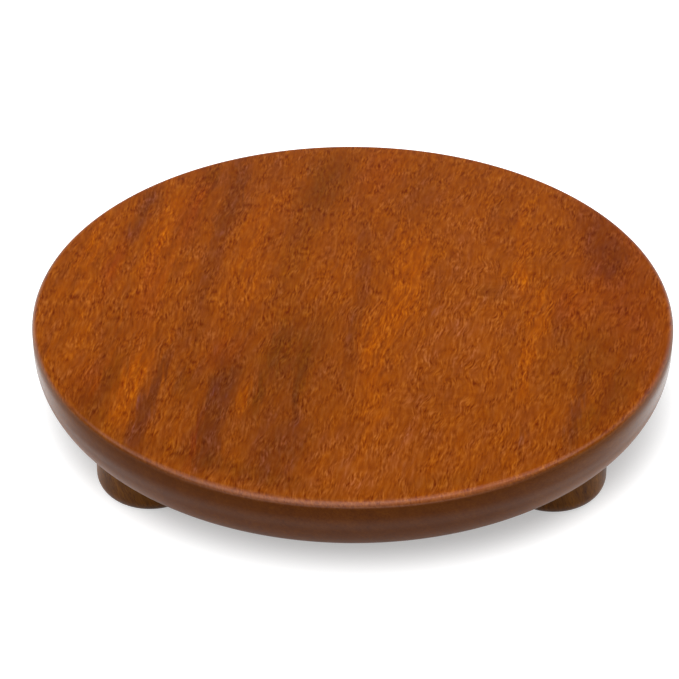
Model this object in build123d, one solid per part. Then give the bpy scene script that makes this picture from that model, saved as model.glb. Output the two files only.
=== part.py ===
from build123d import *

import os

# A round wooden rolling board, turned from a single plank and raised on three turned feet.
# Millimetres, +Z up. The origin is on the floor, on the board's axis. -Y is the front.

# The board
board_diameter = 254.0
board_thickness = 24.6
rim_top_radius = 2.8
rim_wall_height = 6.2
rim_under_reach = 10.2

# The feet
foot_names = ("front_right", "rear", "front_left")
first_foot_angle = -30.0
full_turn = 360.0
quarter_turn = 90.0
foot_diameter = 43.2
foot_taper = 0.4
foot_height = 30.25
foot_inset = 4.6
foot_floor_radius = 8.0
foot_top_chamfer = 0.8

# The glued joint between a foot and the board
spigot_diameter = 18.0
spigot_length = 6.0
spigot_chamfer = 0.8
glue_film = 0.1
glue_well = 0.5

# The wood screw that draws each foot up
screw_diameter = 4.0
screw_head_diameter = 8.0
screw_head_rim = 0.4
screw_point_length = 5.0
screw_point_diameter = 0.6
wood_over_screw = 4.85
driver_recess_width = 4.4
driver_recess_wing = 1.1
driver_recess_depth = 2.0
driver_recess_taper = 14.0

# The hole that takes the screw through a foot
counterbore_diameter = 10.0
counterbore_depth = 10.0
screw_clearance = 0.15
pilot_clearance = 0.02

# How far a cut runs past the face that it opens
cut_overrun = 1.0

# Heights and radii that follow from the sizes above
under_z = foot_height
top_z = foot_height + board_thickness
board_radius = board_diameter / 2
rim_under_height = board_thickness - rim_wall_height - rim_top_radius
foot_radius = foot_diameter / 2
foot_shoulder_radius = foot_radius - foot_taper
foot_circle_radius = board_radius - rim_under_reach - foot_inset - foot_radius
spigot_radius = spigot_diameter / 2
counterbore_radius = counterbore_diameter / 2
screw_radius = screw_diameter / 2
screw_head_radius = screw_head_diameter / 2
screw_point_radius = screw_point_diameter / 2
screw_seat_z = counterbore_depth
screw_tip_z = top_z - wood_over_screw


def turned(*edges):
    """A solid of revolution about +Z, from the closed half outline that the edges draw as (radius, height)."""
    return revolve(Plane.XZ * make_face(edges), Axis.Z)


def quarter_round(centre, radius, start_angle):
    """A quarter of a circle, from start_angle on, anticlockwise."""
    return CenterArc(centre, radius, start_angle, quarter_turn)


def cone_rise(wide_radius, narrow_radius):
    """The height of a right-angled countersink between two radii."""
    return wide_radius - narrow_radius


def foot_places():
    """Each foot's name and its place on the board."""
    step = full_turn / len(foot_names)
    for number, name in enumerate(foot_names):
        yield name, Rot(0, 0, first_foot_angle + number * step) * Pos(foot_circle_radius, 0, 0)


def screw_body(clearance):
    """The screw's turned outline, grown by the clearance all round, about its own axis."""
    head = screw_head_radius + clearance
    shank = screw_radius + clearance
    point = screw_point_radius + clearance
    low = screw_seat_z - clearance
    rim = low + screw_head_rim
    neck = rim + cone_rise(head, shank)
    tip = screw_tip_z + clearance
    shoulder = screw_tip_z - screw_point_length
    outline = Polyline(
        (0, low),
        (head, low),
        (head, rim),
        (shank, neck),
        (shank, shoulder),
        (point, tip),
        (0, tip),
        close=True,
    )
    return turned(outline)


def driver_recess():
    """The crossed, tapering recess in the screw's head, cut from below."""
    wing = Rectangle(driver_recess_width, driver_recess_wing)
    cross = wing + Rot(0, 0, quarter_turn) * wing
    deep = extrude(cross, driver_recess_depth, taper=driver_recess_taper)
    mouth = extrude(cross, -cut_overrun)
    return Pos(0, 0, screw_seat_z) * (deep + mouth)


def make_screw():
    """A countersunk wood screw, head down, with its point in the board."""
    return screw_body(0) - driver_recess()


def make_foot():
    """A turned foot: rounded at the floor, slightly tapered, with a spigot on top and a stepped screw hole."""
    ring_radius = foot_radius - foot_floor_radius
    spigot_top = foot_height + spigot_length
    outside = turned(
        Line((0, 0), (ring_radius, 0)),
        quarter_round((ring_radius, foot_floor_radius), foot_floor_radius, -quarter_turn),
        Polyline(
            (foot_radius, foot_floor_radius),
            (foot_shoulder_radius, foot_height - foot_top_chamfer),
            (foot_shoulder_radius - foot_top_chamfer, foot_height),
            (spigot_radius, foot_height),
            (spigot_radius, spigot_top - spigot_chamfer),
            (spigot_radius - spigot_chamfer, spigot_top),
            (0, spigot_top),
            (0, 0),
        ),
    )
    shank_hole = screw_radius + screw_clearance
    seat_radius = screw_head_radius + screw_clearance
    seat_top = screw_seat_z + screw_head_rim
    hole = Polyline(
        (0, -cut_overrun),
        (counterbore_radius, -cut_overrun),
        (counterbore_radius, screw_seat_z),
        (seat_radius, screw_seat_z),
        (seat_radius, seat_top),
        (shank_hole, seat_top + cone_rise(seat_radius, shank_hole)),
        (shank_hole, spigot_top + cut_overrun),
        (0, spigot_top + cut_overrun),
        close=True,
    )
    return outside - turned(hole)


def foot_socket():
    """What a foot and its screw take out of the board: the spigot's blind socket and the pilot hole."""
    bottom = under_z - cut_overrun
    socket_radius = spigot_radius + glue_film
    socket_top = under_z + spigot_length + glue_well
    socket = Polyline(
        (0, bottom),
        (socket_radius, bottom),
        (socket_radius, socket_top),
        (0, socket_top),
        close=True,
    )
    return turned(socket) + screw_body(pilot_clearance)


def make_board():
    """The turned plank: flat on top, softened at the top edge, an upright wall and a long rounding below."""
    flat_radius = board_radius - rim_under_reach
    wall_foot_z = under_z + rim_under_height
    wall_head_z = top_z - rim_top_radius
    face_radius = board_radius - rim_top_radius
    rounding = EllipticalCenterArc(
        (flat_radius, wall_foot_z), rim_under_reach, rim_under_height, -quarter_turn, arc_size=quarter_turn
    )
    board = turned(
        Line((0, under_z), (flat_radius, under_z)),
        rounding,
        Line((board_radius, wall_foot_z), (board_radius, wall_head_z)),
        quarter_round((face_radius, wall_head_z), rim_top_radius, 0),
        Polyline((face_radius, top_z), (0, top_z), (0, under_z)),
    )
    socket = foot_socket()
    for name, place in foot_places():
        board -= place * socket
    return board


def write(piece, node):
    """Write one piece to its own file, under its own name."""
    piece.label = node
    export_step(piece, f"parts/{node}.step")


os.makedirs("parts", exist_ok=True)
write(make_board(), "rolling_board")
foot = make_foot()
screw = make_screw()
for name, place in foot_places():
    write(place * foot, f"foot_{name}")
    write(place * screw, f"screw_{name}")
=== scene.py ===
import math

import bmesh
import bpy
from mathutils import Matrix, Vector


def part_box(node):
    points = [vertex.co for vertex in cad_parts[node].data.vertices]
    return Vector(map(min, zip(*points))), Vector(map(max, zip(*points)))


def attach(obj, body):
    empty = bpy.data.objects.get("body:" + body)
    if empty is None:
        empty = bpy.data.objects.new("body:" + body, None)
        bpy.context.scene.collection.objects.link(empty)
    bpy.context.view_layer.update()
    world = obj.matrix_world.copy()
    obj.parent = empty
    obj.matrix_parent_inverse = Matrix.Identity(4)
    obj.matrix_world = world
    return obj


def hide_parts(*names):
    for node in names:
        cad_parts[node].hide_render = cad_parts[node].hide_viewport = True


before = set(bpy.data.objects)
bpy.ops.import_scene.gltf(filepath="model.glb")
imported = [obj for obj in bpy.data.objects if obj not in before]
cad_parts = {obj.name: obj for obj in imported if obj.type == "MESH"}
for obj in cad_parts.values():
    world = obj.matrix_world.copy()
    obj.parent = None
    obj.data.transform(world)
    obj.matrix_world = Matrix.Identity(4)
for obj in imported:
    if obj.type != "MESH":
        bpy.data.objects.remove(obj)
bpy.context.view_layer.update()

mm = 0.001
full_turn = 2 * math.pi
quarter_turn = math.pi / 2

# Sizes read from the boxes of the CAD parts in model.glb
board_low, board_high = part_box("rolling_board")
foot_low, foot_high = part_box("foot_rear")
screw_low, screw_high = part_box("screw_rear")
board_radius = board_high.x
top_z = board_high.z
under_z = board_low.z
foot_radius = (foot_high.x - foot_low.x) / 2
foot_circle_radius = (foot_high.y + foot_low.y) / 2
spigot_top = foot_high.z
screw_seat_z = screw_low.z
screw_tip_z = screw_high.z
screw_head_radius = (screw_high.x - screw_low.x) / 2

# Sizes of the board, the feet and the screws that the CAD parts' boxes don't hold
rim_top_radius = 2.8 * mm
rim_wall_height = 6.2 * mm
rim_under_reach = 10.2 * mm
foot_taper = 0.4 * mm
foot_floor_radius = 8.0 * mm
foot_top_chamfer = 0.8 * mm
spigot_radius = 9.0 * mm
spigot_chamfer = 0.8 * mm
glue_film = 0.1 * mm
glue_well = 0.5 * mm
screw_radius = 2.0 * mm
screw_root_radius = 1.35 * mm
screw_head_rim = 0.4 * mm
screw_point_length = 5.0 * mm
screw_point_radius = 0.3 * mm
screw_plain_length = 13.0 * mm
thread_pitch = 1.9 * mm
recess_width = 4.4 * mm
recess_wing = 1.1 * mm
recess_depth = 2.0 * mm
recess_taper_share = 0.25
counterbore_radius = 5.0 * mm
screw_clearance = 0.15 * mm

# Where each foot stands round the board, in degrees from the right towards the back
foot_turns = {"front_right": -30.0, "rear": 90.0, "front_left": 210.0}

# Heights on the screw that follow from those sizes
screw_neck_z = screw_seat_z + screw_head_rim + screw_head_radius - screw_radius
thread_z = screw_neck_z + screw_plain_length
point_z = screw_tip_z - screw_point_length

# How far each foot's block is turned about its own axis, so that no two show the same grain, and how many
# times as far its screw is
foot_spins = {"front_right": 40.0, "rear": 155.0, "front_left": 265.0}
screw_spin_share = 1.7

# How many steps each piece is turned in, and the angle past which a corner stays sharp
board_segments = 360
socket_segments = 96
foot_segments = 128
screw_segments = 48
sharp_angle = math.radians(32)

# How far the plank's top keeps below its CAD part's box, and how far hand turning leaves the pieces out of
# true
top_skin = 0.005 * mm
board_wobble = 0.12 * mm
board_seed = 3.0
foot_wobble = 0.06 * mm
first_foot_seed = 11.0

# The camera, fitted to the outline of the top and of the rim
camera_lens = 137.85
camera_azimuth = math.radians(0.56)
camera_elevation = math.radians(34.5)
camera_roll = math.radians(0.06)
camera_distance = 1032.5 * mm
camera_right = -5.2 * mm
camera_up = -13.5 * mm


def srgb(red, green, blue):
    """A colour given in 0 to 255 as it shows, in the renderer's linear units."""
    shares = (value / 255 for value in (red, green, blue))
    return tuple(s / 12.92 if s <= 0.04045 else ((s + 0.055) / 1.055) ** 2.4 for s in shares) + (1.0,)


# Node helpers that shader trees and geometry trees share

def feed(tree, socket, value):
    """Link a socket to another, or set it to a plain value."""
    if isinstance(value, bpy.types.NodeSocket):
        tree.links.new(value, socket)
    else:
        socket.default_value = value


def feed_all(tree, node, inputs):
    """Feed several of a node's inputs, by name or number."""
    for name, value in inputs.items():
        feed(tree, node.inputs[name], value)


def add(tree, kind, inputs=None, **settings):
    """A node with its settings made and its inputs fed, by name or number."""
    node = tree.nodes.new(kind)
    for name, value in settings.items():
        setattr(node, name, value)
    feed_all(tree, node, inputs or {})
    return node


def calc(tree, operation, *values, clamp=False):
    """A sum on numbers."""
    node = add(tree, "ShaderNodeMath", dict(enumerate(values)), operation=operation, use_clamp=clamp)
    return node.outputs[0]


def chain(tree, operation, first, *others):
    """The same sum done with number after number."""
    for value in others:
        first = calc(tree, operation, first, value)
    return first


def product(tree, *factors):
    """Numbers multiplied together."""
    return chain(tree, "MULTIPLY", *factors)


def greatest(tree, *values):
    """The largest of several numbers."""
    return chain(tree, "MAXIMUM", *values)


def plus(tree, first, second):
    """The sum of two numbers."""
    return calc(tree, "ADD", first, second)


def less(tree, value, taken):
    """One number less another."""
    return calc(tree, "SUBTRACT", value, taken)


def ratio(tree, value, divisor):
    """One number divided by another."""
    return calc(tree, "DIVIDE", value, divisor)


def sloped(tree, value, slope, start):
    """A number times a slope, plus a start."""
    return calc(tree, "MULTIPLY_ADD", value, slope, start)


def place_calc(tree, operation, *values):
    """A sum on places and directions."""
    node = add(tree, "ShaderNodeVectorMath", dict(enumerate(values)), operation=operation)
    return node.outputs["Value"] if operation in ("LENGTH", "DOT_PRODUCT") else node.outputs["Vector"]


def scaled(tree, place, factor):
    """A place times a number."""
    return add(tree, "ShaderNodeVectorMath", {0: place, "Scale": factor}, operation="SCALE").outputs[0]


def parts_of(tree, place):
    """A place's three numbers."""
    return add(tree, "ShaderNodeSeparateXYZ", {0: place}).outputs


def joined(tree, x, y, z):
    """A place made of three numbers."""
    return add(tree, "ShaderNodeCombineXYZ", {0: x, 1: y, 2: z}).outputs[0]


def ease(tree, value, low, high, to_low=0.0, to_high=1.0):
    """A smooth step from one value to another as a number goes from low to high."""
    inputs = {"Value": value, "From Min": low, "From Max": high, "To Min": to_low, "To Max": to_high}
    return add(tree, "ShaderNodeMapRange", inputs, interpolation_type="SMOOTHSTEP").outputs["Result"]


def total(tree, terms):
    """The sum of socket and weight pairs."""
    running = 0.0
    for socket, weight in terms:
        running = sloped(tree, socket, weight, running)
    return running


def speckle(tree, place, detail):
    """Noise between 0 and 1 about 0.5."""
    return add(tree, "ShaderNodeTexNoise", {"Vector": place, "Scale": 1.0, "Detail": detail}).outputs[0]


def stretched(tree, place, width, length):
    """Grain places, divided by a figure's width across the grain and its length along it, in millimetres."""
    sideways = ratio(tree, 1.0, width)
    lengthways = ratio(tree, 1.0, length)
    return place_calc(tree, "MULTIPLY", place, joined(tree, sideways, lengthways, sideways))


# The kinds of socket that the groups and trees have
number = "NodeSocketFloat"
integer = "NodeSocketInt"
place_type = "NodeSocketVector"
geometry_type = "NodeSocketGeometry"
object_type = "NodeSocketObject"
material_type = "NodeSocketMaterial"


def make_group(name, kind, inputs, outputs):
    """A node group with named sockets, and its input and output nodes. An input is given as its default, or
    as its kind of socket where it has none."""
    kinds = {float: number, int: integer, tuple: place_type}
    group = bpy.data.node_groups.new(name, kind)
    for label, given in inputs.items():
        has_default = not isinstance(given, str)
        socket_type = kinds[type(given)] if has_default else given
        socket = group.interface.new_socket(label, in_out="INPUT", socket_type=socket_type)
        if has_default:
            socket.default_value = given
    for label, socket_type in outputs.items():
        group.interface.new_socket(label, in_out="OUTPUT", socket_type=socket_type)
    return group, group.nodes.new("NodeGroupInput").outputs, group.nodes.new("NodeGroupOutput").inputs


def use_group(tree, group, **inputs):
    """A copy of a shader group in a tree, fed by name, with spaces in the names written as underscores."""
    named = {name.replace("_", " "): value for name, value in inputs.items()}
    return add(tree, "ShaderNodeGroup", named, node_tree=group).outputs


# Wood

def grain_place_group():
    """Places in millimetres across, along and through the wood, drifting from side to side and leaning as
    it goes down. The grain's places fan out from a far point as well."""
    inputs = {
        "Place": place_type,
        "Fan side": -350.0,
        "Fan length": -1410.0,
        "Lean": 0.35,
        "Sway": 7.0,
        "Feather": 1.3,
        "Curl": 3.0,
        "Fray": 7.0,
    }
    outputs = {"Plane": place_type, "Grain": place_type}
    group, given, made = make_group("grain place", "ShaderNodeTree", inputs, outputs)
    in_mm = scaled(group, given["Place"], 1 / mm)
    x, y, z = parts_of(group, in_mm)
    # Each drift's width across the grain and length along it, in millimetres, and its detail
    drifts = {
        "Sway": (50.0, 80.0, 1.0),
        "Feather": (2.0, 22.0, 2.0),
        "Curl": (12.0, 13.0, 1.0),
        "Fray": (1.5, 24.0, 1.5),
    }
    drift = {}
    for name, (width, length, detail) in drifts.items():
        drift[name] = less(group, speckle(group, stretched(group, in_mm, width, length), detail), 0.5)
    terms = [(drift[name], given[name]) for name in ("Sway", "Feather", "Curl")]
    shifted = plus(group, x, total(group, terms + [(z, given["Lean"])]))
    aside = less(group, shifted, given["Fan side"])
    reach = less(group, given["Fan length"], y)
    fanned = ratio(group, product(group, aside, given["Fan length"]), reach)
    across = plus(group, fanned, given["Fan side"])
    frayed = sloped(group, drift["Fray"], given["Fray"], shifted)
    feed(group, made["Plane"], joined(group, frayed, y, z))
    feed(group, made["Grain"], joined(group, across, y, z))
    return group


def ribbon_group():
    """One ribbon of tone between two places: 1 along its middle, fading at its edges and ends."""
    inputs = {
        "Plane": place_type,
        "Far x": 0.0,
        "Far y": 40.0,
        "Near x": 0.0,
        "Near y": -40.0,
        "Half width": 4.0,
    }
    group, given, made = make_group("ribbon", "ShaderNodeTree", inputs, {"Amount": number})
    far = joined(group, given["Far x"], given["Far y"], 0.0)
    near = joined(group, given["Near x"], given["Near y"], 0.0)
    whole = place_calc(group, "SUBTRACT", near, far)
    middle = scaled(group, place_calc(group, "ADD", near, far), 0.5)
    x, y, _ = parts_of(group, given["Plane"])
    offset = place_calc(group, "SUBTRACT", joined(group, x, y, 0.0), middle)
    length = place_calc(group, "LENGTH", whole)
    along = place_calc(group, "DOT_PRODUCT", offset, whole)
    lengthways = ratio(group, along, product(group, length, length, 0.5))
    off_middle = place_calc(group, "LENGTH", offset)
    square = product(group, off_middle, off_middle)
    away = less(group, square, calc(group, "POWER", ratio(group, along, length), 2.0))
    side_fall = 1.5
    end_fall = 2.6
    fade_rate = -0.9
    in_widths = ratio(group, away, product(group, given["Half width"], given["Half width"]))
    sideways = calc(group, "POWER", greatest(group, in_widths, 0.0), side_fall)
    ends = calc(group, "POWER", calc(group, "ABSOLUTE", lengthways), end_fall)
    fade = calc(group, "EXPONENT", product(group, plus(group, sideways, ends), fade_rate))
    feed(group, made["Amount"], fade)
    return group


def figure_group():
    """The wood's own figure: broad bands, streaks, strokes, fibres, cross ripple and open pores."""
    inputs = {
        "Grain": place_type,
        "Fine turn": 0.0,
        "Band width": 11.0,
        "Band length": 150.0,
        "Streak width": 2.6,
        "Streak length": 40.0,
        "Stroke width": 1.6,
        "Stroke length": 8.5,
        "Fibre width": 0.8,
        "Fibre length": 3.7,
        "Pore width": 1.1,
        "Pore length": 8.0,
    }
    marks = ("Bands", "Streaks", "Strokes", "Fibres", "Warmth", "Ripple", "Pores")
    group, given, made = make_group("wood figure", "ShaderNodeTree", inputs, dict.fromkeys(marks, number))
    grain = given["Grain"]
    across, along, through = parts_of(group, grain)
    fine = joined(group, sloped(group, along, given["Fine turn"], across), along, through)
    figures = (("Band", grain, 1.5), ("Streak", grain, 1.5), ("Stroke", fine, 1.0), ("Fibre", fine, 1.5))
    for name, source, detail in figures:
        place = stretched(group, source, given[name + " width"], given[name + " length"])
        feed(group, made[name + "s"], less(group, speckle(group, place, detail), 0.5))
    aside = place_calc(group, "ADD", grain, (31.0, 67.0, 11.0))
    patch_share = 0.35
    patch_width = product(group, given["Band width"], patch_share)
    patch_length = product(group, given["Streak length"], patch_share)
    warmth = speckle(group, stretched(group, aside, patch_width, patch_length), 1.0)
    feed(group, made["Warmth"], less(group, warmth, 0.5))
    ripple = speckle(group, stretched(group, grain, 9.0, 2.6), 1.5)
    feed(group, made["Ripple"], less(group, ripple, 0.5))
    pore_place = stretched(group, fine, given["Pore width"], given["Pore length"])
    # Two layers of pores: how far each is shifted, and how much of its cell a pore fills
    pore_layers = ((0.0, 0.30), (17.3, 0.24))
    pores = []
    for shift, size in pore_layers:
        moved = place_calc(group, "ADD", pore_place, (shift, shift, shift))
        cells = add(group, "ShaderNodeTexVoronoi", {"Vector": moved, "Scale": 1.0}, feature="F1")
        pores.append(ease(group, cells.outputs["Distance"], size * 0.45, size, 1.0, 0.0))
    feed(group, made["Pores"], greatest(group, *pores))
    return group


def end_grain_group():
    """How far a surface is cut across the grain, from 0 along it to 1 square to it."""
    inputs = {"Facing": place_type, "Grain direction": (0.19, 0.98, 0.0)}
    group, given, made = make_group("end grain", "ShaderNodeTree", inputs, {"Amount": number})
    facing = place_calc(group, "DOT_PRODUCT", given["Facing"], given["Grain direction"])
    feed(group, made["Amount"], ease(group, calc(group, "ABSOLUTE", facing), 0.25, 0.95))
    return group


def edge_highlight_band_group():
    """A painted highlight's band along an edge, broken up along the grain."""
    inputs = {
        "Place": place_type,
        "Grain": place_type,
        "Edge radius": 0.1,
        "Edge height": 0.05,
        "Reach": 0.002,
    }
    group, given, made = make_group("edge highlight band", "ShaderNodeTree", inputs, {"Amount": number})
    x, y, z = parts_of(group, given["Place"])
    radius = place_calc(group, "LENGTH", joined(group, x, y, 0.0))
    out = less(group, radius, given["Edge radius"])
    up = less(group, z, given["Edge height"])
    away = place_calc(group, "LENGTH", joined(group, out, up, 0.0))
    near = ease(group, ratio(group, away, given["Reach"]), 0.35, 1.0, 1.0, 0.0)
    broken = ease(group, speckle(group, stretched(group, given["Grain"], 1.2, 4.0), 2.0), 0.38, 0.6)
    feed(group, made["Amount"], product(group, near, broken))
    return group


grain_place = grain_place_group()
ribbon = ribbon_group()
figure = figure_group()
end_grain = end_grain_group()
edge_highlight_band = edge_highlight_band_group()

# Ribbons of other tones in the plank, in millimetres: x and y of the far end, x and y of the near end, half
# width, tint and strength
plank_ribbons = (
    # Left of the front
    (-20, -10, -52, -112, 34, "smoky", 0.27),
    (-20, -10, -52, -112, 34, "dun", 0.27),
    (-98, -40, -104, -70, 8, "russet", 0.35),
    (-108, -50, -88, -92, 5, "dun", 0.55),
    (-78, -91, -12, -121, 5, "dun", 0.40),
    (14, -120, 50, -109, 4.5, "dun", 0.30),
    (-89, -34, -95, -66, 3.4, "dun", 0.85),
    (-81, -34, -89, -82, 3.6, "amber", 0.85),
    (-76.5, -42, -83, -80, 0.9, "rosy", 0.60),
    (-71.5, -30, -79, -70, 2, "smoky", 0.95),
    (-78, -62, -83, -98, 3.6, "smoky", 0.85),
    (-64, -42, -66, -62, 4, "dun", 0.35),
    (-66, -66, -69, -98, 8, "amber", 0.20),
    (-57, -74, -60, -106, 1.4, "russet", 0.70),
    # Partly the wood's own tone, partly a painted shadow
    (-46, -22, -56, -44, 7, "russet", 0.40),
    (-48, -38, -51, -66, 5, "smoky", 0.75),
    (-51.5, -56, -55, -108, 4.6, "smoky", 0.90),
    (-40.5, -48, -42.5, -74, 2, "amber", 0.90),
    (-35, -46, -36.5, -72, 1.3, "dun", 0.70),
    (-27, -12, -31, -44, 3.6, "dun", 0.50),
    (-14, -4, -26, -52, 11, "dun", 0.45),
    (-17.5, -28, -20.5, -64, 2.2, "dun", 0.60),
    (-21, -54, -23, -82, 1.3, "smoky", 0.55),
    (-22, -78, -32, -118, 8, "smoky", 0.60),
    # Right of the front
    (25, 26, 10, -34, 9, "amber", 0.60),
    (10, -28, 6, -78, 5, "amber", 0.50),
    (4, 16, -1, -48, 3.2, "smoky", 0.45),
    (52, 20, 36, -48, 18, "rosy", 0.40),
    (56, 16, 54, 4, 6, "dun", 0.40),
    (35, 24, 30, -14, 2.6, "smoky", 0.35),
    (69, 28, 68.5, 8, 2.8, "amber", 0.80),
    (76, 12, 72, -20, 4.5, "amber", 0.55),
    (71, -18, 64, -66, 2.2, "amber", 0.55),
    (58, -36, 47, -76, 4.5, "amber", 0.12),
    (88, 16, 86, -14, 6.5, "russet", 0.40),
    (84, -4, 81, -34, 3, "smoky", 0.40),
    (98, -14, 92, -54, 10, "dun", 0.48),
    (82, -32, 76, -66, 6, "dun", 0.25),
    (30, -34, 22, -86, 6, "smoky", 0.22),
    (54, -56, 47, -84, 4, "smoky", 0.25),
    (22, -76, 8, -118, 12, "rosy", 0.35),
    (-3, -88, -10, -122, 9, "rosy", 0.35),
    (89, -38, 79.5, -98, 2.2, "smoky", 0.80),
    (64.5, -80, 61.5, -100, 1.2, "smoky", 0.60),
    (98, -44, 92, -82, 3, "russet", 0.40),
    (108, -42, 82, -93, 6.5, "dun", 0.75),
    (106, 80, 114, -62, 13, "smoky", 0.22),
    (104, 82, 112, -50, 14, "russet", 0.38),
    (100, 76, 104, 18, 9, "smoky", 0.65),
    (107, 46, 104, 22, 3.4, "smoky", 0.60),
    # Left of the back
    (-103, 62, -112, 4, 5, "amber", 0.55),
    (-85, 92, -92, 44, 2.6, "smoky", 0.90),
    (-93, 50, -100, 8, 3, "russet", 0.50),
    (-80, 92, -84, 70, 4.5, "smoky", 0.45),
    (-72, 94, -82, 36, 4.6, "amber", 0.65),
    (-62, 102, -70, 46, 4, "russet", 0.45),
    (-59, 108, -62, 92, 3, "dun", 0.75),
    (-47, 110, -53, 56, 4, "smoky", 0.85),
    (-28, 92, -38, 54, 8, "amber", 0.50),
    (-19, 108, -21, 94, 1.4, "amber", 0.60),
    (-6, 120, -16, 70, 10, "dun", 0.60),
    (-20, 125, -42, 48, 40, "smoky", 0.28),
    (18, 122, 8, 84, 7, "russet", 0.30),
    (36, 114, 24, 60, 8, "smoky", 0.35),
    # Across the middle
    (-54, 58, -62, -8, 4, "smoky", 0.50),
    (-38, 54, -46, -10, 6, "amber", 0.35),
    (-18, 70, -28, -6, 6, "dun", 0.40),
    (6, 72, 3, 14, 3.2, "smoky", 0.45),
    (26, 62, 22, 18, 7, "amber", 0.40),
    (50, 82, 50, 20, 10, "rosy", 0.25),
    (-78, 40, -84, -18, 5, "russet", 0.30),
    (72, 72, 69, 28, 3, "amber", 0.40),
    (68, 98, 60, 60, 5, "smoky", 0.30),
)

# What each tint does to the wood's red, green and blue, in the renderer's linear units
warm_tint = (1.04, 0.98, 0.30, 1.0)
cool_tint = (0.97, 1.00, 2.20, 1.0)
pale_fibre_tint = (1.50, 1.95, 4.60, 1.0)
dark_fibre_tint = (0.56, 0.34, 0.00, 1.0)
# Painted light from the floor: how much paler the lower edge is made
painted_floor_light_tint = (1.26, 1.30, 1.45, 1.0)
ribbon_tints = {
    "smoky": (0.60, 0.60, 1.90, 1.0),
    "amber": (1.30, 1.22, 0.20, 1.0),
    "dun": (0.66, 0.70, 0.60, 1.0),
    "russet": (0.88, 0.58, 0.50, 1.0),
    "rosy": (1.12, 1.24, 3.00, 1.0),
}

# Where the plank's grain is curly: centre, and how far it reaches across and along
curly_patches = ((60, 12, 22, 26), (34, -60, 20, 26), (90, 2, 12, 16), (-28, -32, 8, 12))

# The lacquered colours of the plank's faces, of the end grain round its edge, which soaks up the most stain,
# and of the edge's sides, from darkest to palest
plank_colours = (
    (0.0, srgb(86, 38, 15)),
    (0.2, srgb(114, 52, 13)),
    (0.4, srgb(141, 67, 11)),
    (0.5, srgb(155, 75, 10)),
    (0.65, srgb(171, 84, 9)),
    (0.85, srgb(187, 94, 11)),
    (1.0, srgb(201, 107, 19)),
)
# The pale colour of a painted highlight along the front of the edge's corner
edge_highlight_colour = srgb(184, 112, 60)
end_grain_colours = ((0.2, srgb(80, 38, 5)), (0.5, srgb(100, 50, 8)), (0.8, srgb(117, 63, 14)))
side_grain_colours = ((0.2, srgb(114, 59, 10)), (0.5, srgb(136, 75, 15)), (0.8, srgb(154, 91, 26)))
pore_colour = srgb(88, 34, 6)
# Painted shade for the stained edge where it faces down
painted_underside_shade_colour = srgb(58, 30, 8)

# The colours of the feet and of the screws, from darkest to palest
foot_colours = (
    (0.0, srgb(82, 42, 9)),
    (0.45, srgb(120, 70, 16)),
    (0.75, srgb(144, 88, 24)),
    (1.0, srgb(168, 110, 40)),
)
foot_pore_colour = srgb(36, 18, 10)
foot_end_colour = srgb(54, 29, 17)
zinc_colours = ((0.3, srgb(150, 148, 140)), (0.55, srgb(190, 188, 178)), (0.8, srgb(214, 208, 190)))

# The bare wood under the lacquer: how deep its grain is, and how little it shines itself
grain_depth = 0.08 * mm
bare_shine = 0.05

# The direction that the plank's grain ends face, which the edge takes its stain from
plank_grain_direction = (0.12, 0.99, 0.0)


def colour_ramp(tree, amount, stops):
    """A smooth run of colours."""
    node = add(tree, "ShaderNodeValToRGB", {0: amount})
    ramp = node.color_ramp
    while len(ramp.elements) < len(stops):
        ramp.elements.new(1.0)
    for element, (position, colour) in zip(ramp.elements, stops):
        element.position = position
        element.color = colour
    return node.outputs[0]


def mixed(tree, amount, first, second, blend_type="MIX"):
    """One colour laid over another."""
    colours = {0: amount, 6: first, 7: second}
    return add(tree, "ShaderNodeMix", colours, data_type="RGBA", blend_type=blend_type).outputs[2]


def new_material(name):
    """An empty node material with its Principled BSDF, its object places and its facing."""
    material = bpy.data.materials.new(name)
    material.use_nodes = True
    tree = material.node_tree
    shader = tree.nodes["Principled BSDF"]
    coordinates = tree.nodes.new("ShaderNodeTexCoord")
    return material, tree, shader, coordinates.outputs["Object"], coordinates.outputs["Normal"]


def relief(tree, height, strength, distance):
    """A bump from a height."""
    bump = {"Height": height, "Strength": strength, "Distance": distance}
    return add(tree, "ShaderNodeBump", bump).outputs[0]


def ribbon_on(tree, plane, far_x, far_y, near_x, near_y, half_width):
    """One ribbon on the plank, between the middles of its far and near ends."""
    ends = {"Far_x": float(far_x), "Far_y": float(far_y), "Near_x": float(near_x), "Near_y": float(near_y)}
    return use_group(tree, ribbon, Plane=plane, Half_width=float(half_width), **ends)["Amount"]


def ribbons_of(tree, plane, tint):
    """The plank's ribbons of one tint, added up."""
    terms = []
    for *sizes, ribbon_tint, strength in plank_ribbons:
        if ribbon_tint == tint:
            terms.append((ribbon_on(tree, plane, *sizes), strength))
    return total(tree, terms)


def tinted(tree, colour, amount, reach, tint):
    """A colour taken towards a tint as an amount goes from 0 to its reach, which may be below 0."""
    share = calc(tree, "DIVIDE", amount, reach, clamp=True)
    return mixed(tree, share, colour, tint, "MULTIPLY")


def plank_figure(tree, place):
    """Places on the plank's face, across it and along its grain, how curly that is, and its marks."""
    from_face = {"Vector": place, "Location": (0.0, 0.0, -top_z), "Rotation": (0.0, 0.0, -camera_azimuth)}
    face = add(tree, "ShaderNodeMapping", from_face).outputs[0]
    face_mm = scaled(tree, face, 1 / mm)
    curly = 0.0
    for x, y, across, along in curly_patches:
        curly = greatest(tree, curly, ribbon_on(tree, face_mm, x, y + along, x, y - along, across))
    curl = sloped(tree, curly, 3.5, 2.5)
    placed = use_group(tree, grain_place, Place=face, Curl=curl)
    wood = use_group(tree, figure, Grain=placed["Grain"], Fine_turn=0.11)
    return face_mm, placed["Plane"], placed["Grain"], curly, wood


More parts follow.
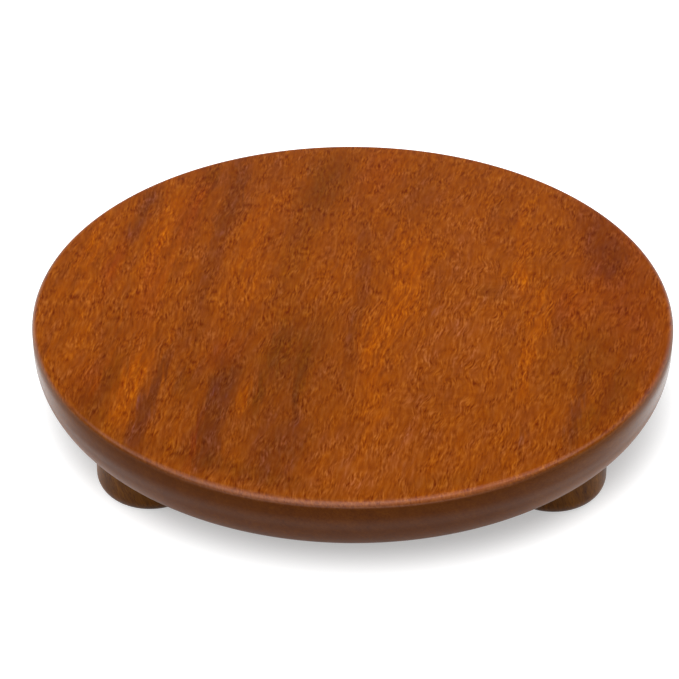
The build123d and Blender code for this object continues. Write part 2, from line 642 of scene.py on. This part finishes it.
def plank_face_colour(tree, face_mm, plane, grain, curly, wood):
    """The plank as it was cut: streaks, ribbons, warmth, fine grain and pores, one over another."""
    left_side = ease(tree, parts_of(tree, face_mm)[0], 10.0, -70.0, 0.7, 1.5)
    streaky = total(tree, [(wood["Bands"], 0.2), (wood["Streaks"], 0.25)])
    colour = colour_ramp(tree, sloped(tree, streaky, left_side, 0.5), plank_colours)
    broken = plus(tree, total(tree, [(wood["Streaks"], 1.5), (wood["Strokes"], 1.2)]), 1.0)
    for name, tint in ribbon_tints.items():
        colour = tinted(tree, colour, product(tree, ribbons_of(tree, plane, name), broken), 1.0, tint)
    warm_reach = 0.3
    colour = tinted(tree, colour, wood["Warmth"], warm_reach, warm_tint)
    colour = tinted(tree, colour, wood["Warmth"], -warm_reach, cool_tint)
    patches = ease(tree, speckle(tree, stretched(tree, grain, 7.0, 11.0), 1.0), 0.35, 0.65, 0.4, 1.7)
    fibres = product(tree, wood["Fibres"], patches)
    ripple = product(tree, wood["Ripple"], curly)
    fine = total(tree, [(wood["Strokes"], 0.9), (fibres, 1.3), (ripple, 0.5)])
    fine_reach = 0.53
    colour = tinted(tree, colour, fine, fine_reach, pale_fibre_tint)
    colour = tinted(tree, colour, fine, -fine_reach, dark_fibre_tint)
    return mixed(tree, product(tree, wood["Pores"], 0.12), colour, pore_colour)


def plank_stain(tree, depth, to_right, edge_front):
    """How much of the edge's stain shows below the face. It comes on later on the front of the edge, and a
    trace of it starts at the very corner, least at the right."""
    front_stain = ease(tree, depth, 0.4, 3.4)
    full_stain = ease(tree, depth, 0.2, 2.0)
    stain = sloped(tree, edge_front, less(tree, front_stain, full_stain), full_stain)
    trace = ease(tree, depth, 0.0, 0.1, 0.0, ease(tree, to_right, 0.35, -0.15, 0.05, 0.24))
    return sloped(tree, less(tree, 1.0, stain), trace, stain)


def plank_edge_colour(tree, wood, cut_across, depth, upward, edge_front):
    """The stained edge: darkest where it is cut across the grain, paler low down with painted light from the
    floor, and darker beneath with painted shade.
    """
    terms = [(wood["Bands"], 0.3), (wood["Streaks"], 0.3), (wood["Fibres"], 0.5)]
    tone = plus(tree, total(tree, terms), 0.5)
    end_colour = colour_ramp(tree, tone, end_grain_colours)
    side_colour = colour_ramp(tree, tone, side_grain_colours)
    colour = mixed(tree, cut_across, side_colour, end_colour)
    # Painted light from the floor: the lower edge made paler, less so on its front
    painted_floor_light = ease(tree, depth, 11.0, 17.0, 0.0, sloped(tree, edge_front, -0.6, 1.0))
    colour = tinted(tree, colour, painted_floor_light, 1.0, painted_floor_light_tint)
    # Painted shade: the edge taken darker where it faces down
    return mixed(tree, ease(tree, upward, -0.4, -1.0, 0.0, 0.7), colour, painted_underside_shade_colour)


def plank_coat(tree, cut_across, depth, upward, edge_front):
    """How much lacquer there is: thin on the face, more on the shoulder, and most on the wall away from the
    end grain and low down."""
    lower = ease(tree, depth, 5.0, 13.0, 0.0, 0.68)
    along_side = sloped(tree, cut_across, -0.8, 0.9)
    wall = product(tree, greatest(tree, along_side, lower), ease(tree, depth, 2.0, 8.0, 0.12, 1.0))
    shoulder_end = sloped(tree, edge_front, -0.3, 0.2)
    shoulder_start = sloped(tree, edge_front, -0.5, 0.65)
    shoulder = product(tree, ease(tree, upward, 0.93, 0.72), ease(tree, upward, shoulder_end, shoulder_start))
    top = sloped(tree, shoulder, 0.4, 0.25)
    sideways = ease(tree, calc(tree, "ABSOLUTE", upward), 0.0, 0.22, 1.0, 0.0)
    return sloped(tree, sideways, less(tree, wall, top), top)


def plank_material():
    """The board: reddish brown ribbon grain under a satin lacquer, darker round its turned edge."""
    material, tree, shader, place, facing = new_material("lacquered_plank")
    face_mm, plane, grain, curly, wood = plank_figure(tree, place)
    depth = ratio(tree, less(tree, top_z, parts_of(tree, place)[2]), mm)
    facing_x, facing_y, upward = parts_of(tree, facing)
    # On the face, which looks straight up, the sideways facing has no length to divide by
    least = 0.001
    level = greatest(tree, place_calc(tree, "LENGTH", joined(tree, facing_x, facing_y, 0.0)), least)
    to_front = product(tree, ratio(tree, facing_y, level), -1.0)
    to_right = ratio(tree, facing_x, level)
    # 1 on the front of the edge, fading out towards its sides: the stain comes on later there and the painted
    # highlight is laid on there
    edge_front = ease(tree, to_front, 0.78, 1.0)
    cut_across = use_group(tree, end_grain, Facing=facing, Grain_direction=plank_grain_direction)["Amount"]
    face_colour = plank_face_colour(tree, face_mm, plane, grain, curly, wood)
    edge_colour = plank_edge_colour(tree, wood, cut_across, depth, upward, edge_front)
    colour = mixed(tree, plank_stain(tree, depth, to_right, edge_front), face_colour, edge_colour)
    # A painted highlight: a pale band along the corner of the edge, broken up along the grain, on its front
    # only
    band = {"Edge_radius": board_radius - rim_top_radius * 0.2, "Edge_height": top_z - rim_top_radius * 0.55}
    edge_highlight = use_group(tree, edge_highlight_band, Place=place, Grain=grain, Reach=1.4 * mm, **band)["Amount"]
    height = total(tree, [(wood["Pores"], -1.0), (wood["Fibres"], 0.8), (wood["Strokes"], 0.8)])
    feed_all(tree, shader, {
        "Base Color": mixed(tree, product(tree, edge_highlight, edge_front, 0.15), colour, edge_highlight_colour),
        "Roughness": sloped(tree, wood["Fibres"], 0.25, 0.45),
        "Normal": relief(tree, height, 0.15, grain_depth),
        "Coat Weight": plank_coat(tree, cut_across, depth, upward, edge_front),
        "Coat Roughness": 0.2,
        "Specular IOR Level": bare_shine,
    })
    return material


def foot_material():
    """The feet: darker turned blocks with their grain upright, under the same lacquer."""
    material, tree, shader, place, facing = new_material("lacquered_foot")
    tipped = {"Vector": place, "Rotation": (quarter_turn, 0.0, 0.35)}
    upright = add(tree, "ShaderNodeMapping", tipped).outputs[0]
    grain = use_group(tree, grain_place, Place=upright, Fan_side=0.0, Fan_length=6000.0, Lean=0.2, Sway=4.0,
                      Feather=0.8, Curl=0.5)["Grain"]
    wood = use_group(tree, figure, Grain=grain, Band_width=6.0, Band_length=90.0, Streak_width=1.4,
                     Streak_length=30.0, Fibre_width=0.4, Fibre_length=6.0, Pore_width=0.8, Pore_length=7.0)
    terms = [(wood["Bands"], 0.9), (wood["Streaks"], 0.7), (wood["Fibres"], 0.7)]
    colour = colour_ramp(tree, plus(tree, total(tree, terms), 0.5), foot_colours)
    colour = mixed(tree, product(tree, wood["Pores"], 0.45), colour, foot_pore_colour)
    cut = use_group(tree, end_grain, Facing=facing, Grain_direction=(0.0, 0.0, 1.0))["Amount"]
    height = total(tree, [(wood["Pores"], -1.0), (wood["Fibres"], 0.8)])
    feed_all(tree, shader, {
        "Base Color": mixed(tree, product(tree, cut, 0.55), colour, foot_end_colour),
        "Roughness": sloped(tree, wood["Fibres"], 0.3, 0.42),
        "Normal": relief(tree, height, 0.2, grain_depth),
        "Coat Weight": 0.15,
        "Coat Roughness": 0.3,
        "Specular IOR Level": bare_shine,
    })
    return material


def screw_material():
    """Zinc plated steel, rubbed along the turns of the screw."""
    material, tree, shader, place, _ = new_material("zinc_plated_steel")
    in_mm = scaled(tree, place, 1 / mm)
    cloud = speckle(tree, scaled(tree, in_mm, 0.8), 3.0)
    scratch = speckle(tree, place_calc(tree, "MULTIPLY", in_mm, (3.0, 3.0, 14.0)), 2.0)
    feed_all(tree, shader, {
        "Base Color": colour_ramp(tree, cloud, zinc_colours),
        "Metallic": 1.0,
        "Roughness": sloped(tree, scratch, 0.3, 0.2),
        "Normal": relief(tree, scratch, 0.12, 0.05 * mm),
    })
    return material


# Turned shapes

def arc(centre, reach, rise, start, stop, steps):
    """Points round part of an ellipse, as (radius, height), with the angles measured from outwards to up."""
    points = []
    for step in range(steps + 1):
        angle = start + (stop - start) * step / steps
        points.append((centre[0] + reach * math.cos(angle), centre[1] + rise * math.sin(angle)))
    return points


def run(start, stop, steps):
    """Points along a straight stretch of an outline, without its last."""
    return [tuple(a + (b - a) * step / steps for a, b in zip(start, stop)) for step in range(steps)]


def board_outline():
    """The board's half outline, from the middle of its underside out and round to the middle of its top."""
    flat_radius = board_radius - rim_under_reach
    face_z = top_z - top_skin
    wall_head_z = face_z - rim_top_radius
    wall_foot_z = wall_head_z - rim_wall_height
    under_centre = (flat_radius, wall_foot_z)
    rounding = arc(under_centre, rim_under_reach, wall_foot_z - under_z, -quarter_turn, 0, steps=24)
    face_radius = board_radius - rim_top_radius
    edge = arc((face_radius, wall_head_z), rim_top_radius, rim_top_radius, 0, quarter_turn, steps=12)
    under = run((0, under_z), rounding[0], steps=24)
    wall = run(rounding[-1], edge[0], steps=6)[1:]
    top = run(edge[-1], (0, face_z), steps=26)[1:] + [(0, face_z)]
    return under + rounding + wall + edge + top


def foot_outline():
    """A foot's closed half outline: out along the floor, up the side, over the spigot, down the hole."""
    ring_radius = foot_radius - foot_floor_radius
    shoulder = foot_radius - foot_taper
    hole = screw_radius + screw_clearance
    seat = screw_head_radius + screw_clearance
    seat_top = screw_seat_z + screw_head_rim
    low = run((counterbore_radius, 0), (ring_radius, 0), steps=4)
    floor_turn = (ring_radius, foot_floor_radius)
    rounding = arc(floor_turn, foot_floor_radius, foot_floor_radius, -quarter_turn, 0, steps=16)
    side = run(rounding[-1], (shoulder, under_z - foot_top_chamfer), steps=10)[1:]
    return low + rounding + side + [
        (shoulder, under_z - foot_top_chamfer),
        (shoulder - foot_top_chamfer, under_z),
        (spigot_radius, under_z),
        (spigot_radius, spigot_top - spigot_chamfer),
        (spigot_radius - spigot_chamfer, spigot_top),
        (hole, spigot_top),
        (hole, seat_top + seat - hole),
        (seat, seat_top),
        (seat, screw_seat_z),
        (counterbore_radius, screw_seat_z),
        (counterbore_radius, 0),
    ]


def socket_outline():
    """The blind socket that takes a foot's spigot."""
    radius = spigot_radius + glue_film
    low = under_z - rim_top_radius
    high = spigot_top + glue_well
    return [(0, low), (radius, low), (radius, high), (0, high)]


def screw_outline():
    """The screw's half outline at the thread's outer radius, with rows close enough to carry the thread."""
    soft = 0.15 * mm
    rows_per_turn = 12
    head = [
        (0, screw_seat_z),
        (screw_head_radius - soft, screw_seat_z),
        (screw_head_radius, screw_seat_z + soft),
        (screw_head_radius, screw_seat_z + screw_head_rim),
    ]
    thread_rows = round((point_z - thread_z) / thread_pitch * rows_per_turn)
    point_rows = round(screw_point_length / thread_pitch * rows_per_turn)
    shank = run((screw_radius, screw_neck_z), (screw_radius, thread_z), steps=6)
    thread = run((screw_radius, thread_z), (screw_radius, point_z), thread_rows)
    point = run((screw_radius, point_z), (screw_point_radius, screw_tip_z), point_rows)
    return head + shank + thread + point + [(screw_point_radius, screw_tip_z), (0, screw_tip_z)]


def outline_object(name, points):
    """The outline as a mesh of points in a row, for a tree to turn."""
    mesh = bpy.data.meshes.new(name)
    vertices = [(radius, 0.0, height) for radius, height in points]
    mesh.from_pydata(vertices, [(n, n + 1) for n in range(len(vertices) - 1)], [])
    shape = bpy.data.objects.new(name, mesh)
    bpy.context.scene.collection.objects.link(shape)
    return shape


def turned_places(tree, outline, segments):
    """A grid whose rows follow the outline round the axis, with each point's radius, height and turn."""
    rows = add(tree, "GeometryNodeAttributeDomainSize", {"Geometry": outline}).outputs["Point Count"]
    columns = plus(tree, segments, 1.0)
    grid = add(tree, "GeometryNodeMeshGrid", {"Vertices X": columns, "Vertices Y": rows}).outputs["Mesh"]
    index = tree.nodes.new("GeometryNodeInputIndex").outputs[0]
    column = calc(tree, "FLOOR", ratio(tree, plus(tree, index, 0.5), rows))
    row = less(tree, index, product(tree, column, rows))
    position = tree.nodes.new("GeometryNodeInputPosition").outputs[0]
    sampled = {"Geometry": outline, "Value": position, "Index": row}
    sampler = add(tree, "GeometryNodeSampleIndex", sampled, data_type="FLOAT_VECTOR", domain="POINT")
    radius, _, height = parts_of(tree, sampler.outputs[0])
    turn = ratio(tree, product(tree, column, full_turn), segments)
    return grid, radius, height, turn


def turned_mesh(tree, grid, radius, height, turn):
    """The grid set round the axis and closed at its seam and poles."""
    x = product(tree, radius, calc(tree, "COSINE", turn))
    y = product(tree, radius, calc(tree, "SINE", turn))
    place = joined(tree, x, y, height)
    moved = add(tree, "GeometryNodeSetPosition", {"Geometry": grid, "Position": place}).outputs[0]
    return add(tree, "GeometryNodeMergeByDistance", {"Geometry": moved, "Distance": 0.004 * mm}).outputs[0]


def finish_tree(tree, mesh, material, made):
    """Realize what the tree has made and give it its material."""
    whole = add(tree, "GeometryNodeRealizeInstances", {"Geometry": mesh}).outputs[0]
    painted = add(tree, "GeometryNodeSetMaterial", {"Geometry": whole, "Material": material}).outputs[0]
    feed(tree, made["Geometry"], painted)


def wobbled(tree, radius, height, turn, amount, seed):
    """The radius, a little less where the tool cut deeper."""
    waves_up = 40.0
    deepest = 1.6
    x, y = calc(tree, "COSINE", turn), calc(tree, "SINE", turn)
    round_place = joined(tree, x, y, product(tree, height, waves_up))
    waves = speckle(tree, place_calc(tree, "ADD", round_place, joined(tree, seed, seed, seed)), 2.0)
    return less(tree, radius, product(tree, waves, amount, deepest))


def turned_piece_tree():
    """Turns an outline about the axis, a little out of true."""
    inputs = {
        "Outline": geometry_type,
        "Segments": foot_segments,
        "Wobble": 0.0,
        "Seed": 0.0,
        "Material": material_type,
    }
    tree, given, made = make_group("turned piece", "GeometryNodeTree", inputs, {"Geometry": geometry_type})
    grid, radius, height, turn = turned_places(tree, given["Outline"], given["Segments"])
    radius = wobbled(tree, radius, height, turn, given["Wobble"], given["Seed"])
    radius = greatest(tree, radius, 0.0)
    finish_tree(tree, turned_mesh(tree, grid, radius, height, turn), given["Material"], made)
    return tree


def bored_board_tree(turned):
    """The turned board with a socket bored for each foot, evenly round a circle."""
    inputs = {
        "Outline": geometry_type,
        "Socket outline": object_type,
        "Segments": board_segments,
        "Sockets": 3,
        "Socket circle": foot_circle_radius,
        "First socket": 0.0,
        "Wobble": 0.0,
        "Seed": 0.0,
        "Material": material_type,
    }
    tree, given, made = make_group("bored board", "GeometryNodeTree", inputs, {"Geometry": geometry_type})
    shared = ("Outline", "Segments", "Wobble", "Seed", "Material")
    blank = add(tree, "GeometryNodeGroup", {name: given[name] for name in shared}, node_tree=turned)
    shape = add(tree, "GeometryNodeObjectInfo", {"Object": given["Socket outline"]}).outputs["Geometry"]
    plug = add(tree, "GeometryNodeGroup", {"Outline": shape, "Segments": socket_segments}, node_tree=turned)
    ring = {"Vertices": given["Sockets"], "Radius": given["Socket circle"]}
    circle = add(tree, "GeometryNodeMeshCircle", ring).outputs[0]
    turn = joined(tree, 0.0, 0.0, given["First socket"])
    spots = add(tree, "GeometryNodeTransform", {"Geometry": circle, "Rotation": turn}).outputs[0]
    set_out = {"Points": spots, "Instance": plug.outputs[0]}
    plugs = add(tree, "GeometryNodeInstanceOnPoints", set_out).outputs[0]
    plugs = add(tree, "GeometryNodeRealizeInstances", {"Geometry": plugs}).outputs[0]
    cut = {"Mesh 1": blank.outputs[0], "Mesh 2": plugs}
    bore = add(tree, "GeometryNodeMeshBoolean", cut, operation="DIFFERENCE", solver="EXACT")
    finish_tree(tree, bore.outputs["Mesh"], given["Material"], made)
    return tree


def screw_tree():
    """A wood screw: an outline turned with a thread cut into it, and a crossed recess in its head."""
    inputs = {
        "Outline": geometry_type,
        "Segments": screw_segments,
        "Thread from": thread_z,
        "Pitch": thread_pitch,
        "Outer radius": screw_radius,
        "Root radius": screw_root_radius,
        "Recess width": recess_width,
        "Recess wing": recess_wing,
        "Recess depth": recess_depth,
        "Head at": screw_seat_z,
        "Material": material_type,
    }
    tree, given, made = make_group("wood screw", "GeometryNodeTree", inputs, {"Geometry": geometry_type})
    grid, radius, height, turn = turned_places(tree, given["Outline"], given["Segments"])
    climbed = ratio(tree, height, given["Pitch"])
    phase = calc(tree, "FRACT", less(tree, climbed, ratio(tree, turn, full_turn)))
    off_crest = calc(tree, "ABSOLUTE", less(tree, phase, 0.5))
    valley = ease(tree, off_crest, 0.05, 0.24)
    above_start = ratio(tree, less(tree, height, given["Thread from"]), given["Pitch"])
    full_depth = less(tree, 1.0, ratio(tree, given["Root radius"], given["Outer radius"]))
    cut = product(tree, valley, ease(tree, above_start, 0.0, 1.0), full_depth)
    radius = product(tree, radius, less(tree, 1.0, cut))
    body = turned_mesh(tree, grid, radius, height, turn)
    twice_depth = product(tree, given["Recess depth"], 2.0)
    size = joined(tree, given["Recess width"], given["Recess wing"], twice_depth)
    wing = add(tree, "GeometryNodeMeshCube", {"Size": size}).outputs[0]
    x, y, z = parts_of(tree, tree.nodes.new("GeometryNodeInputPosition").outputs[0])
    narrowing = product(tree, ratio(tree, z, given["Recess depth"]), recess_taper_share)
    keep = less(tree, 1.0, narrowing)
    tapered_place = joined(tree, product(tree, x, keep), product(tree, y, keep), z)
    tapered = add(tree, "GeometryNodeSetPosition", {"Geometry": wing, "Position": tapered_place}).outputs[0]
    lift = joined(tree, 0.0, 0.0, given["Head at"])
    cross = add(tree, "GeometryNodeMeshBoolean", operation="UNION", solver="EXACT")
    for wing_turn in (0.0, quarter_turn):
        moved = {"Geometry": tapered, "Translation": lift, "Rotation": (0.0, 0.0, wing_turn)}
        feed(tree, cross.inputs["Mesh 2"], add(tree, "GeometryNodeTransform", moved).outputs[0])
    cut = {"Mesh 1": body, "Mesh 2": cross.outputs["Mesh"]}
    bore = add(tree, "GeometryNodeMeshBoolean", cut, operation="DIFFERENCE", solver="EXACT")
    finish_tree(tree, bore.outputs["Mesh"], given["Material"], made)
    return tree


def set_inputs(modifier, values):
    """Set a tree's inputs on its modifier, found by the sockets' identifiers."""
    for item in modifier.node_group.interface.items_tree:
        if item.in_out == "INPUT" and item.name in values:
            modifier[item.identifier] = values[item.name]


def outward(mesh):
    """Make a closed mesh's faces point outwards, whichever way it was turned."""
    work = bmesh.new()
    work.from_mesh(mesh)
    bmesh.ops.recalc_face_normals(work, faces=work.faces)
    work.to_mesh(mesh)
    work.free()


def grown(name, carrier, tree, values):
    """Run a tree on an outline and keep the result as a plain mesh piece."""
    modifier = carrier.modifiers.new(name, "NODES")
    modifier.node_group = tree
    set_inputs(modifier, values)
    graph = bpy.context.evaluated_depsgraph_get()
    shape = carrier.evaluated_get(graph)
    mesh = bpy.data.meshes.new_from_object(shape, preserve_all_data_layers=True, depsgraph=graph)
    carrier.modifiers.remove(modifier)
    mesh.name = name
    outward(mesh)
    mesh.polygons.foreach_set("use_smooth", [True] * len(mesh.polygons))
    mesh.set_sharp_from_angle(angle=sharp_angle)
    piece = bpy.data.objects.new(name, mesh)
    bpy.context.scene.collection.objects.link(piece)
    return piece


def stand_for(piece, node):
    """Put a piece in a CAD node's place, on the same body."""
    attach(piece, "root")
    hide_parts(node)


def foot_place(degrees, spin):
    """The matrix that takes a piece from the axis to its foot's place, turned by its own spin first."""
    out = Matrix.Rotation(math.radians(degrees), 4, "Z")
    return out @ Matrix.Translation((foot_circle_radius, 0, 0)) @ Matrix.Rotation(math.radians(spin), 4, "Z")


plank = plank_material()
foot_wood = foot_material()
steel = screw_material()
turned_piece = turned_piece_tree()
bored_board = bored_board_tree(turned_piece)
wood_screw = screw_tree()

board_shape = outline_object("board_outline", board_outline())
socket_shape = outline_object("socket_outline", socket_outline())
foot_shape = outline_object("foot_outline", foot_outline())
screw_shape = outline_object("screw_outline", screw_outline())

board_values = {
    "Socket outline": socket_shape,
    "Sockets": len(foot_turns),
    "First socket": math.radians(foot_turns["front_right"]),
    "Wobble": board_wobble,
    "Seed": board_seed,
    "Material": plank,
}
board = grown("turned_board", board_shape, bored_board, board_values)
stand_for(board, "rolling_board")

for count, (name, degrees) in enumerate(foot_turns.items()):
    foot_values = {"Wobble": foot_wobble, "Seed": first_foot_seed + count, "Material": foot_wood}
    foot = grown("turned_foot_" + name, foot_shape, turned_piece, foot_values)
    foot.data.transform(foot_place(degrees, foot_spins[name]))
    stand_for(foot, "foot_" + name)
    screw = grown("wood_screw_" + name, screw_shape, wood_screw, {"Material": steel})
    screw.data.transform(foot_place(degrees, foot_spins[name] * screw_spin_share))
    stand_for(screw, "screw_" + name)

for shape in (board_shape, socket_shape, foot_shape, screw_shape):
    bpy.data.objects.remove(shape)


# The studio

# The soft ring in which the floor's glow rises from a painted shadow round the board to white, over the
# board's real shadow: its middle, what a step sideways counts against a step forwards, where it starts and
# ends, and how white the floor is inside it
shadow_middle = (3 * mm, 26 * mm, 0.0)
shadow_sideways = 0.905
shadow_radius = 106 * mm
white_radius = 133 * mm
shadow_white = 0.40


def mirrored_floor(tree, place):
    """How bright the floor looks in the lacquer: dim behind and far out at the sides, brighter close in at
    the sides and far off in front."""
    aside, back, _ = parts_of(tree, place)
    off_left = calc(tree, "ABSOLUTE", plus(tree, aside, 70 * mm))
    off_middle = calc(tree, "ABSOLUTE", aside)
    off_axis = place_calc(tree, "LENGTH", place)
    front_strip = ease(tree, off_left, 260 * mm, 160 * mm)
    far_front = product(tree, ease(tree, back, -340 * mm, -200 * mm, 0.5, 0.0), front_strip)
    far_side = product(tree, ease(tree, off_axis, 190 * mm, 250 * mm, 0.0, 0.8), less(tree, 1.0, front_strip))
    wide = product(tree, ease(tree, back, -60 * mm, 100 * mm, 0.3, 0.14), less(tree, 1.0, far_side))
    close_in = ease(tree, off_axis, 168 * mm, 148 * mm, 0.0, 0.35)
    near_side = product(tree, close_in, ease(tree, off_middle, 70 * mm, 105 * mm))
    from_middle_back = ease(tree, back, -60 * mm, 0.0, 0.0, 0.4)
    beside = product(tree, from_middle_back, ease(tree, off_middle, 115 * mm, 150 * mm))
    return total(tree, [(wide, 1.0), (far_front, 1.0), (greatest(tree, near_side, beside), 1.0)])


def mirror_rays(tree):
    """The light paths, and 1 on the rays that the lacquer mirrors or that glass lets through."""
    paths = tree.nodes.new("ShaderNodeLightPath").outputs
    return paths, greatest(tree, paths["Is Glossy Ray"], paths["Is Transmission Ray"])


def floor_material():
    """A plain floor: white to the camera but for the object's shadow and a painted shadow round it, and clear
    from below.
    """
    material, tree, shader, place, _ = new_material("white_floor")
    tone = speckle(tree, scaled(tree, place, 3.0), 1.0)
    greys = ((0.0, (0.60, 0.60, 0.60, 1.0)), (1.0, (0.64, 0.64, 0.64, 1.0)))
    offset = place_calc(tree, "SUBTRACT", place, shadow_middle)
    offset = place_calc(tree, "MULTIPLY", offset, (shadow_sideways, 1.0, 0.0))
    from_shadow = place_calc(tree, "LENGTH", offset)
    # Less glow inside the ring: a painted shadow round the board
    white = ease(tree, from_shadow, shadow_radius, white_radius, shadow_white, 1.0)
    paths, mirrored = mirror_rays(tree)
    seen = product(tree, paths["Is Camera Ray"], white)
    feed_all(tree, shader, {
        "Base Color": colour_ramp(tree, tone, greys),
        "Roughness": 0.9,
        "Specular IOR Level": 0.0,
        "Emission Color": (1.0, 1.0, 1.0, 1.0),
        "Emission Strength": plus(tree, seen, product(tree, mirrored, mirrored_floor(tree, place))),
    })
    beneath = tree.nodes.new("ShaderNodeNewGeometry").outputs["Backfacing"]
    clear = tree.nodes.new("ShaderNodeBsdfTransparent").outputs[0]
    either = add(tree, "ShaderNodeMixShader", {0: beneath, 1: shader.outputs[0], 2: clear}).outputs[0]
    feed(tree, tree.nodes["Material Output"].inputs["Surface"], either)
    return material


def make_floor():
    """A wide flat floor just under the feet."""
    half = 6.0
    depth = -0.02 * mm
    mesh = bpy.data.meshes.new("floor")
    corners = [(-half, -half, depth), (half, -half, depth), (half, half, depth), (-half, half, depth)]
    mesh.from_pydata(corners, [], [(0, 1, 2, 3)])
    mesh.materials.append(floor_material())
    floor = bpy.data.objects.new("floor", mesh)
    bpy.context.scene.collection.objects.link(floor)


# What the lacquer mirrors of the softboxes: the direction of each one's middle, how far it is fully bright
# and where it ends, in degrees, and its brightness
mirrored_softboxes = (
    ((0.16, -0.46, 0.87), 12.0, 28.0, 2.8),
    ((-0.24, -0.80, 0.55), 10.0, 34.0, 2.9),
    ((-0.52, -0.58, 0.63), 10.0, 32.0, 2.7),
    ((-0.62, -0.05, 0.78), 12.0, 34.0, 1.9),
    ((0.50, -0.02, 0.86), 14.0, 32.0, 2.5),
    ((0.50, -0.62, 0.60), 16.0, 36.0, 0.95),
    ((0.76, 0.52, 0.42), 10.0, 26.0, 1.0),
)


def mirrored_studio(tree, direction):
    """How bright the studio looks in the lacquer: a low glow, a sweep in front, and softboxes."""
    aside, back, upward = parts_of(tree, direction)
    low_glow = ease(tree, upward, 0.05, 0.25, 0.25, 0.03)
    low_back = product(tree, ease(tree, upward, 0.2, 0.5, 0.9, 0.03), ease(tree, back, 0.15, 0.45))
    centred = calc(tree, "MINIMUM", ease(tree, aside, -0.85, -0.6), ease(tree, aside, 0.45, 0.05))
    arch = product(tree, ease(tree, upward, 0.5, 0.98, 1.6, 0.0), ease(tree, upward, -0.05, 0.5, 0.6, 1.0))
    sweep = product(tree, ease(tree, back, 0.1, -0.3), centred, arch)
    panels = []
    for middle, inner, outer, brightness in mirrored_softboxes:
        towards = place_calc(tree, "DOT_PRODUCT", direction, middle)
        edge, full = math.cos(math.radians(outer)), math.cos(math.radians(inner))
        panels.append(ease(tree, towards, edge, full, 0.0, brightness))
    return greatest(tree, low_glow, low_back, sweep, *panels)


def make_world():
    """White behind the floor's edge, and a dimmer studio overhead for the lacquer to mirror."""
    world = bpy.data.worlds.new("studio")
    bpy.context.scene.world = world
    world.use_nodes = True
    tree = world.node_tree
    direction = tree.nodes.new("ShaderNodeTexCoord").outputs["Generated"]
    paths, mirrored = mirror_rays(tree)
    ambient = 0.15
    beyond_ambient = less(tree, mirrored_studio(tree, direction), ambient)
    level = plus(tree, ambient, product(tree, mirrored, beyond_ambient))
    to_white = product(tree, paths["Is Camera Ray"], less(tree, 1.0, level))
    background = tree.nodes["Background"]
    feed_all(tree, background, {"Color": (1.0, 1.0, 1.0, 1.0), "Strength": plus(tree, level, to_white)})


def make_soft_light(name, azimuth, elevation, width, level):
    """A wide soft source: where it stands and how wide it looks, in degrees, and its brightness."""
    light = bpy.data.lights.new(name, "SUN")
    light.angle = math.radians(width)
    light.energy = level * math.pi
    lamp = bpy.data.objects.new(name, light)
    lamp.visible_glossy = False
    turn, rise = math.radians(azimuth), math.radians(elevation)
    towards = Vector((math.sin(turn) * math.cos(rise), -math.cos(turn) * math.cos(rise), math.sin(rise)))
    lamp.rotation_mode = "QUATERNION"
    lamp.rotation_quaternion = towards.to_track_quat("Z", "Y")
    bpy.context.scene.collection.objects.link(lamp)


def make_camera():
    """The photograph's viewpoint: no shift and no depth of field."""
    aside = Matrix.Rotation(camera_azimuth, 3, "Z")
    right = aside @ Vector((1, 0, 0))
    back = aside @ Vector((0, -math.cos(camera_elevation), math.sin(camera_elevation)))
    up = back.cross(right)
    across = right * math.cos(camera_roll) + up * math.sin(camera_roll)
    above = up * math.cos(camera_roll) - right * math.sin(camera_roll)
    data = bpy.data.cameras.new("camera")
    data.lens = camera_lens
    data.sensor_width = 36.0
    camera = bpy.data.objects.new("camera", data)
    place = Vector((0, 0, top_z)) + back * camera_distance + across * camera_right + above * camera_up
    axes = Matrix((across, above, back)).transposed().to_4x4()
    camera.matrix_world = Matrix.Translation(place) @ axes
    bpy.context.scene.collection.objects.link(camera)
    bpy.context.scene.camera = camera


make_floor()
make_world()
make_soft_light("overhead_softbox", -4.0, 82.0, 66.0, 0.695)
make_soft_light("front_softbox", 0.0, 48.0, 40.0, 0.12)
make_soft_light("left_softbox", -65.0, 15.0, 50.0, 0.09)
make_camera()
bpy.context.scene.view_settings.view_transform = "Standard"
